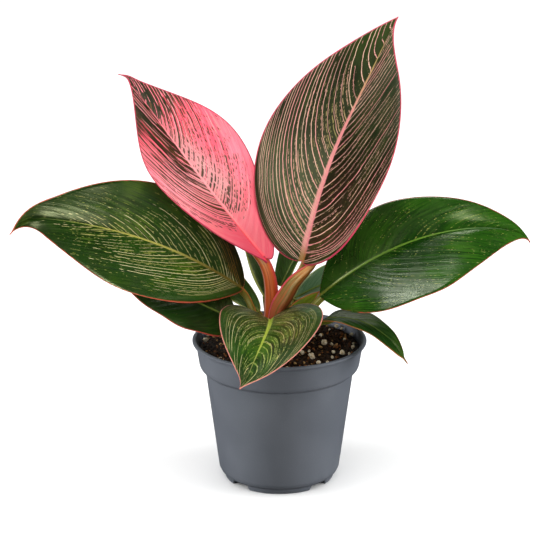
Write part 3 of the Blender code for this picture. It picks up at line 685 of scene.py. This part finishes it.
def smoothRoute(shape, count):
    # Catmull-Rom curve through the points: a cubic between neighbours, with slopes from the points beside them
    points = np.column_stack([shape["route"], shape["radii"]])
    padded = np.concatenate([2 * points[:1] - points[1:2], points, 2 * points[-1:] - points[-2:-1]])
    place = np.linspace(0, len(points) - 1, count)
    index = np.minimum(place.astype(int), len(points) - 2)
    t = (place - index)[:, None]
    a, b, c, d = (padded[index + k] for k in range(4))
    found = 0.5 * (2 * b + (c - a) * t + (2 * a - 5 * b + 4 * c - d) * t**2 + (3 * b - a - 3 * c + d) * t**3)
    return found[:, :3], found[:, 3]


def tube(node, route, radii, look, slot, wide=1.0, groove=0.12, grooveAt=0.5, columns=36, ribs=0.02):
    # A section carried along the route: an ellipse, wide times as wide as deep, with a channel of depth groove
    # at the share grooveAt of the turn, which starts at the back, and fine ribs along it.
    tangent = unit(np.gradient(route, axis=0))
    facing = (0, -1, 0)
    front = unit(facing - (tangent @ facing)[:, None] * tangent)
    side = np.cross(tangent, front)
    turn = np.linspace(0, 1, columns, endpoint=False)
    radii = radii[:, None] * (1 - groove * hill(turn, grooveAt, 0.085))
    radii = radii * (1 + ribs * np.cos(fullTurn * 9 * turn))
    ring = -np.cos(fullTurn * turn)[None, :, None] * front[:, None]
    ring = ring - wide * np.sin(fullTurn * turn)[None, :, None] * side[:, None]
    around = route[:, None] + ring * radii[..., None]
    around = np.concatenate([around[:1], around, around[-1:]])
    length = np.concatenate([[0], np.cumsum(np.linalg.norm(np.diff(route, axis=0), axis=1))])
    share = np.concatenate([[0], length / length[-1], [1]])
    uv = np.stack(np.broadcast_arrays(np.linspace(0, 1, columns + 1)[None], share[:, None]), -1)
    piece = skin(node + "_skin", around, ("round", uv))
    settle(piece, stalkMaterial(node, plainStalk | look), slot, node)


def stalkMaterial(name, look):
    # runs from foot to top colour, paler on its left edge, redder on its right one, with streaks along it
    # (the sheath's wide dark right band is painted shade on its underside)
    material, tree, shader = newMaterial(name + " skin")
    turn, share = uvParts(tree, "round")
    colour = mixed(step(share, 0.05, 0.9), look["foot"], look["top"])
    streak = cloud(spot(times(turn, 26), times(share, 2.6)), 1, 3, 0.6)
    colour = mixed(step(streak, 0.42, 0.66), colour, look["streak"])
    for edge in ("left", "right"):
        gap = calc("ABSOLUTE", minus(turn, look[edge + "At"]))
        mask = minus(1, step(gap, 0.02, look[edge + "Wide"]))
        colour = mixed(times(mask, 0.85), colour, look[edge])
    dress(shader, colour, look["shine"], streak, 0.35, 0.0006, tint=(1, 0.95, 0.5, 1))
    return material


def stemAt(height):
    # the stem's axis and radius at a height, read between the places of its route
    *axis, heights = np.transpose(stemShape["route"])
    values = [np.interp(height, heights, values) for values in (*axis, stemShape["radii"])]
    return np.array([*values[:2], height]), values[2]


def stalkRoute(leaf, stalk):
    # From inside the stem on a Bezier curve to the blade's base, and on along the underside of its midrib,
    # thinning until it is lost in it.
    footRadius, bladeRadius = stalk["radii"]
    side, climb = math.radians(stalk["side"]), math.radians(stalk["climb"])
    outward = np.array([math.cos(side), math.sin(side), 0])
    rising = outward * math.cos(climb) + (0, 0, math.sin(climb))
    if "start" in stalk:
        start = stalk["start"]
        inside = start - rising * 5
    else:
        axis, stemRadius = stemAt(stalk["height"])
        start = axis + outward * (stemRadius + stemShape["gap"] + footRadius * math.sin(climb))
        inside = start - outward * (stemRadius * 0.6) - (0, 0, 2)
    thin = bladeRadius * np.array(stalkEnd["radii"])
    points, _, ups = midribFrame(leaf, np.array(stalkEnd["places"]) * leaf["length"])
    turn = bladeTurn(leaf)
    under = (points - ups * (thin + stalkEnd["gap"])[:, None]) @ turn.T + leaf["base"]
    t = np.linspace(0, 1, 40)[:, None]
    end = under[0]
    first, second = start + rising * stalk["reach"][0], end - turn[:, 0] * stalk["reach"][1]
    curve = (1 - t) ** 3 * start + 3 * t * (1 - t) ** 2 * first + 3 * t**2 * (1 - t) * second + t**3 * end
    t = t[:, 0]
    radii = footRadius + (bladeRadius - footRadius) * t + footRadius * 0.45 * np.exp(-t / 0.07)  # flared foot
    route = np.concatenate([inside[None], curve, under[1:]])
    return route, np.concatenate([[footRadius * 1.3], radii, thin[1:]])


for name, stalk in stalkShapes.items():
    pink = name == "pink_leaf"
    slot = "pink_stalk" if pink else "green_stalk"
    route, radii = stalkRoute(leaves[name], stalk)
    tube(name + "_stalk", route, radii, stalkLooks.get(name, {}), slot, wide=1.3 if pink else 1.0)

route, radii = smoothRoute(sheathShape, 48)
radii = radii * np.interp(np.linspace(0, 1, 48), [0, 0.9, 1], [1, 1, 0.5])
tube("striped_leaf_sheath", route, radii, stalkLooks["sheath"], "pink_stalk", groove=0.2, grooveAt=0.42)

route, radii = smoothRoute(stemShape, 40)
radii = radii * (1 + 0.05 * np.sin(fullTurn * 5 * np.linspace(0, 1, 40)))  # five rings
tube("stem", route, radii, stalkLooks["stem"], "stem", groove=0, columns=48, ribs=0.015)
print("stem, stalks and sheath made")

potShape = dict(  # radius and height of each corner, up the inside and down the outside
    profile=[
        (0, 5.8), (38, 5.8), (41.1, 12), (49.7, 78.6), (52.6, 80.8), (53.8, 83), (55.8, 96), (56.8, 99.2),
        (57.4, 99.9), (58.5, 100), (59.7, 99.7), (60, 99), (59.6, 98), (57.8, 97.2), (57.2, 95.5), (55.2, 82.8),
        (54.5, 81), (53, 79.6), (51.1, 78.4), (42.5, 12), (41.9, 7.6), (40.7, 5.2), (38.5, 3.4), (37.9, 0),
        (31, 0), (30.5, 4), (0, 4),
    ],
    steps=288, corner=0.5, longest=8, notchWidth=22, notchHeight=3.6, notchSlope=0.8, holeRadius=4,
    holeCircle=23, holeHeights=(-1, 11),
)


def rounded(profile, corner):
    # each corner becomes a quadratic arc that starts and ends at most corner away from it
    profile = np.array(profile)
    before, here, after = profile[:-2], profile[1:-1], profile[2:]
    toBefore, toAfter = before - here, after - here
    lengthBefore = np.linalg.norm(toBefore, axis=1, keepdims=True)
    lengthAfter = np.linalg.norm(toAfter, axis=1, keepdims=True)
    a = here + toBefore / lengthBefore * np.minimum(corner, lengthBefore * 0.42)
    b = here + toAfter / lengthAfter * np.minimum(corner, lengthAfter * 0.42)
    t = np.array([0, 0.33, 0.67, 1])[None, :, None]
    arcs = (1 - t) ** 2 * a[:, None] + 2 * t * (1 - t) * here[:, None] + t**2 * b[:, None]
    return np.concatenate([profile[:1], arcs.reshape(-1, 2), profile[-1:]])


def longCells(profile, most):
    # more points along the long straights, so that no step is longer than most
    pieces = []
    for first, second in zip(profile[:-1], profile[1:]):
        count = max(1, int(np.ceil(np.linalg.norm(second - first) / most)))
        pieces.append(first + (second - first) * np.linspace(0, 1, count, endpoint=False)[:, None])
    return np.concatenate([*pieces, profile[-1:]])


def turned(profile, steps):
    # profile (radius, height) turned about the upright axis
    angle = np.linspace(0, fullTurn, steps, endpoint=False)
    radius, height = profile[:, :1], profile[:, 1:]
    return np.stack(np.broadcast_arrays(radius * np.cos(angle), radius * np.sin(angle), height), -1)


def potMaterial():
    material, tree, shader = newMaterial("moulded plastic")
    place = objectPlace(tree)
    fine, broad = cloud(place, 1400, 3, 0.6), cloud(place, 30, 3)
    colour = mixed(step(broad, 0.3, 0.7), "4C5057", "52565D")
    colour = mixed(times(step(fine, 0.55, 0.75), 0.25), colour, "6A6E76")
    dress(shader, colour, step(broad, 0.3, 0.7, 0.5, 0.6), fine, 0.12, 0.0002, level=0.4)
    return material


profile = longCells(rounded(potShape["profile"], potShape["corner"]), potShape["longest"])
points = turned(profile, potShape["steps"])
offDiagonal = np.abs(np.arange(potShape["steps"]) * 360 / potShape["steps"] % 90 - 45)  # where the notches lie
notchEdge = potShape["notchWidth"] / 2 + potShape["notchSlope"] * np.array([-1, 1])
notch = 1 - ease(*notchEdge, offDiagonal)
points[..., 2] = np.maximum(points[..., 2], potShape["notchHeight"] * notch[None])
pot = skin("nursery_pot", points)
low, high = potShape["holeHeights"]
wide = potShape["holeRadius"]
drill = turned(np.array([(0, low), (wide, low), (wide, high), (0, high)]), 32)
centres = [(math.cos(a), math.sin(a), 0) for a in np.radians([45, 135, 225, 315])]
tool = skin("drill", np.stack([drill + potShape["holeCircle"] * np.array(centre) for centre in centres]))
cut = pot.modifiers.new("Drain holes", "BOOLEAN")
cut.object = tool
drilled = bpy.data.meshes.new_from_object(pot.evaluated_get(bpy.context.evaluated_depsgraph_get()))
pot.modifiers.clear()
pot.data = drilled
bpy.data.objects.remove(tool)
settle(pot, potMaterial(), "pot", "pot")
print("pot made")

soilShape = dict(
    top=94.5, mound=1, domeEdge=54.8, edge=54.5, rings=84, steps=256, sunk=0.7, rough=(0.9, 0.55),
    wall=[(53.2, 83.4), (52, 81.3), (49.2, 79.2), (48.8, 76), (40.6, 12.4), (37.5, 6.1), (0, 6.1)],
    crumbs=1500, crumbCircle=53, seed=11,
)
perliteShape = dict(
    sides=(1, 0.95, 0.85), speckSides=(1, 0.9, 0.8), sunk=0.4,
    specks=[  # place and radius of the small grains on the mix
        (31.7, -35.5, 1.3), (35.6, 29.8, 1), (36, -0.6, 1.2), (-50, 9, 1.2), (20, -15, 1.2), (51, 2, 1),
        (47.4, -19, 1.2), (45, 10, 1.1), (12, 40, 1.3), (-30, 35, 1.2), (-40, -28, 1.2), (5, -46, 1.1),
    ],
)


def soilHeight(radius):
    # a low dome: top + mound * (1 - (radius / domeEdge)^2)
    return soilShape["top"] + soilShape["mound"] * (1 - (radius / soilShape["domeEdge"]) ** 2)


def soilMaterial():
    material, tree, shader = newMaterial("potting mix")
    fine = cloud(objectPlace(tree), 420, 4, 0.7)
    colour = mixed(step(fine, 0.4, 0.62), "22150C", "4C3018")
    tone = note(tree, "tone")
    chips = mixed(step(tone, 0.55, 0.75), "352010", "8C5428")
    chips = mixed(step(tone, 0.86, 0.97), chips, "CCA066")
    colour = mixed(step(tone, 0.02, 0.3), colour, chips)
    colour = mixed(times(step(fine, 0.5, 0.7), 0.3), colour, "120B06")
    dress(shader, colour, 0.9, fine, 0.8, 0.0012, level=0.25)
    return material


def perliteMaterial():
    material, tree, shader = newMaterial("perlite")
    fine = cloud(objectPlace(tree), 700, 4, 0.7)
    colour = mixed(step(fine, 0.36, 0.6), "C4A476", "F8EACC")
    dress(shader, colour, 0.85, fine, 0.7, 0.0008)
    return material


def blobs(centres, sizes, rows, columns, seed, rough=0.3):
    # closed lumps: a ball stretched by sizes, turned at random and dented by three random waves each
    draw = np.random.default_rng(seed)
    count = len(centres)
    polar = np.linspace(0, math.pi, rows)
    ball = turned(np.stack([np.sin(polar), np.cos(polar)], -1), columns)
    waves = draw.normal(size=(count, 3, 3)) * 1.6
    shift = draw.uniform(0, fullTurn, (count, 3))
    dents = np.sin(np.einsum("rcx,nwx->nrcw", ball, waves) + shift[:, None, None]).mean(-1)
    shape = ball[None] * (1 + rough * dents)[..., None] * sizes[:, None, None]
    turns, _ = np.linalg.qr(draw.normal(size=(count, 3, 3)))
    turns = turns * np.sign(np.linalg.det(turns))[:, None, None]
    return np.einsum("nrcx,nyx->nrcy", shape, turns) + centres[:, None, None]


soil, rings = soilMaterial(), soilShape["rings"]
top = np.linspace(0, soilShape["edge"], rings)
profile = np.concatenate([np.stack([top, soilHeight(top)], -1), soilShape["wall"]])
points = turned(profile, soilShape["steps"])
flat = points[:rings, :, :2]
coarse, fine = soilShape["rough"]
rough = ripple(flat, 21, 14, 4) * coarse + ripple(flat, 22, 3.2, 3) * fine
rough *= 1 - ease(53.4, 54.5, np.linalg.norm(flat, axis=-1))
points[:rings, :, 2] += rough - soilShape["sunk"]
settle(skin("potting_mix", points, notes=dict(tone=0)), soil, "soil", "soil")

draw = np.random.default_rng(soilShape["seed"])
count = soilShape["crumbs"]
radius = np.sqrt(draw.uniform(0.02, 1, count)) * soilShape["crumbCircle"]
angle = draw.uniform(0, fullTurn, count)
size = 0.5 + 1.1 * draw.uniform(0, 1, count) ** 3
long = 1 + 1.4 * draw.uniform(0, 1, count) ** 2
height = soilHeight(radius) + draw.uniform(-0.7, 0.5, count)
centres = np.stack([radius * np.cos(angle), radius * np.sin(angle), height], -1)
crumbs = blobs(centres, np.stack([size * long, size, size * 0.7], -1), 6, 8, 12)
tone = np.where(draw.uniform(0, 1, count) < 0.6, 0.35, draw.uniform(0.4, 1, count))
settle(skin("soil_crumbs", crumbs, notes=dict(tone=tone[:, None, None])), soil, "soil")

perlite = perliteMaterial()
grains = sorted(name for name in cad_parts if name.startswith("perlite_"))
corners = np.array([[list(corner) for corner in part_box(name)] for name in grains]) / mm
sizes = (corners[:, 1] - corners[:, 0]).mean(axis=1, keepdims=True) / 2 * perliteShape["sides"]
points = blobs(corners.mean(axis=1), sizes, 14, 20, 31, 0.5)
settle(skin("perlite_pieces", points), perlite, "perlite", *grains)
specks = np.array(perliteShape["specks"])
height = soilHeight(np.linalg.norm(specks[:, :2], axis=1)) + specks[:, 2] * perliteShape["sunk"]
points = np.column_stack([specks[:, :2], height])
points = blobs(points, specks[:, 2:] * perliteShape["speckSides"], 8, 12, 33)
settle(skin("perlite_specks", points), perlite, "perlite")
print("potting mix and perlite made")

studio = dict(sky=1, floor=0.91, floorSize=12, sheen=(0.95, 1, 1))
# soft lamps light the shapes, sheen lamps show only as reflections in the leaves, and a lamp that is alone lights
# only the pot; deep is the shorter side of a lamp's panel
soft = dict(aim=(0, 0, 0.1), sheen=False, alone=False)
sheen = soft | dict(aim=(0, 0, 0.15), sheen=True)
lamps = {
    "overhead": soft | dict(at=(0.1, -0.5, 1.9), size=1.6, power=19),
    "left side": soft | dict(at=(-1.5, -0.3, 0.7), size=1.1, power=16),
    "right side": soft | dict(at=(1.5, -0.2, 0.7), size=1.1, power=16),
    "pot left": soft | dict(at=(-1.3, -0.15, 0.3), aim=(0, 0, 0.06), size=0.5, power=32, alone=True),
    "pot right": soft | dict(at=(1.3, -0.1, 0.3), aim=(0, 0, 0.06), size=0.5, power=34, alone=True),
    "back sheen": sheen | dict(at=(0.05, 1.09, 1.24), aim=(0.05, 0, 0.15), size=1.2, deep=0.16, lean=-22, power=5),
    "low sheen": sheen | dict(at=(0, 1.56, 0.42), aim=(0, 0, 0.12), size=0.6, power=0.5),
    "front sheen": sheen | dict(at=(-0.05, -1.06, 1.21), size=0.3, power=0.5),
    "tip sheen": sheen | dict(at=(-0.49, -1.35, 0.6), aim=(-0.15, 0, 0.15), size=0.5, power=17),
    "right sheen": sheen | dict(at=(1, -0.48, 1.25), aim=(0.1, 0, 0.15), size=0.42, power=3),
    "left sheen": sheen | dict(at=(-0.76, 0.44, 1.36), aim=(0.03, 0, 0.15), size=0.35, power=2),
}
cameraPlace = dict(at=(-0.0089, -1.2404, 0.5404), aim=(-0.0089, 0, 0.1514), lens=129.2)


def aimed(obj, place):
    # faces from at to aim, its right side level or raised by lean degrees
    at, lean = Vector(place["at"]), math.radians(place.get("lean", 0))
    turn = (Vector(place["aim"]) - at).to_track_quat("-Z", "Y").to_matrix().to_4x4()
    obj.matrix_world = Matrix.Translation(at) @ turn @ Matrix.Rotation(lean, 4, "Z")


bpy.ops.mesh.primitive_plane_add(size=studio["floorSize"])
floor = bpy.context.object
floor.name = "floor"
material, _, shader = newMaterial("floor")
for key, value in {"Base Color": (*[studio["floor"]] * 3, 1), "Roughness": 0.9, "Specular IOR Level": 0}.items():
    wire(shader.inputs[key], value)
floor.data.materials.append(material)
floor.visible_glossy = False  # keeps its white out of the leaves' sheen

world = bpy.data.worlds.new("studio")
scene.world = world
world.use_nodes = True
sky = world.node_tree.nodes["Background"]
sky.inputs["Color"].default_value = (1, 1, 1, 1)
sky.inputs["Strength"].default_value = studio["sky"]
world.cycles_visibility.glossy = False
potOnly = bpy.data.collections.new("pot only")
potOnly.objects.link(pot)
for name, lamp in lamps.items():
    light = bpy.data.lights.new(name, "AREA")
    light.shape = "RECTANGLE"
    light.size, light.size_y = lamp["size"], lamp.get("deep", lamp["size"])
    light.energy = lamp["power"]
    lampObject = placed(name, light)
    aimed(lampObject, lamp)
    lampObject.visible_camera = False
    lampObject.visible_diffuse = not lamp["sheen"]
    lampObject.visible_glossy = lamp["sheen"]
    if lamp["sheen"]:
        light.color = studio["sheen"]
    if lamp["alone"]:
        lampObject.light_linking.receiver_collection = potOnly

camera = placed("camera", bpy.data.cameras.new("camera"))
camera.data.lens = cameraPlace["lens"]
aimed(camera, cameraPlace)
scene.camera = camera
scene.view_settings.view_transform = "Standard"
print("studio set")
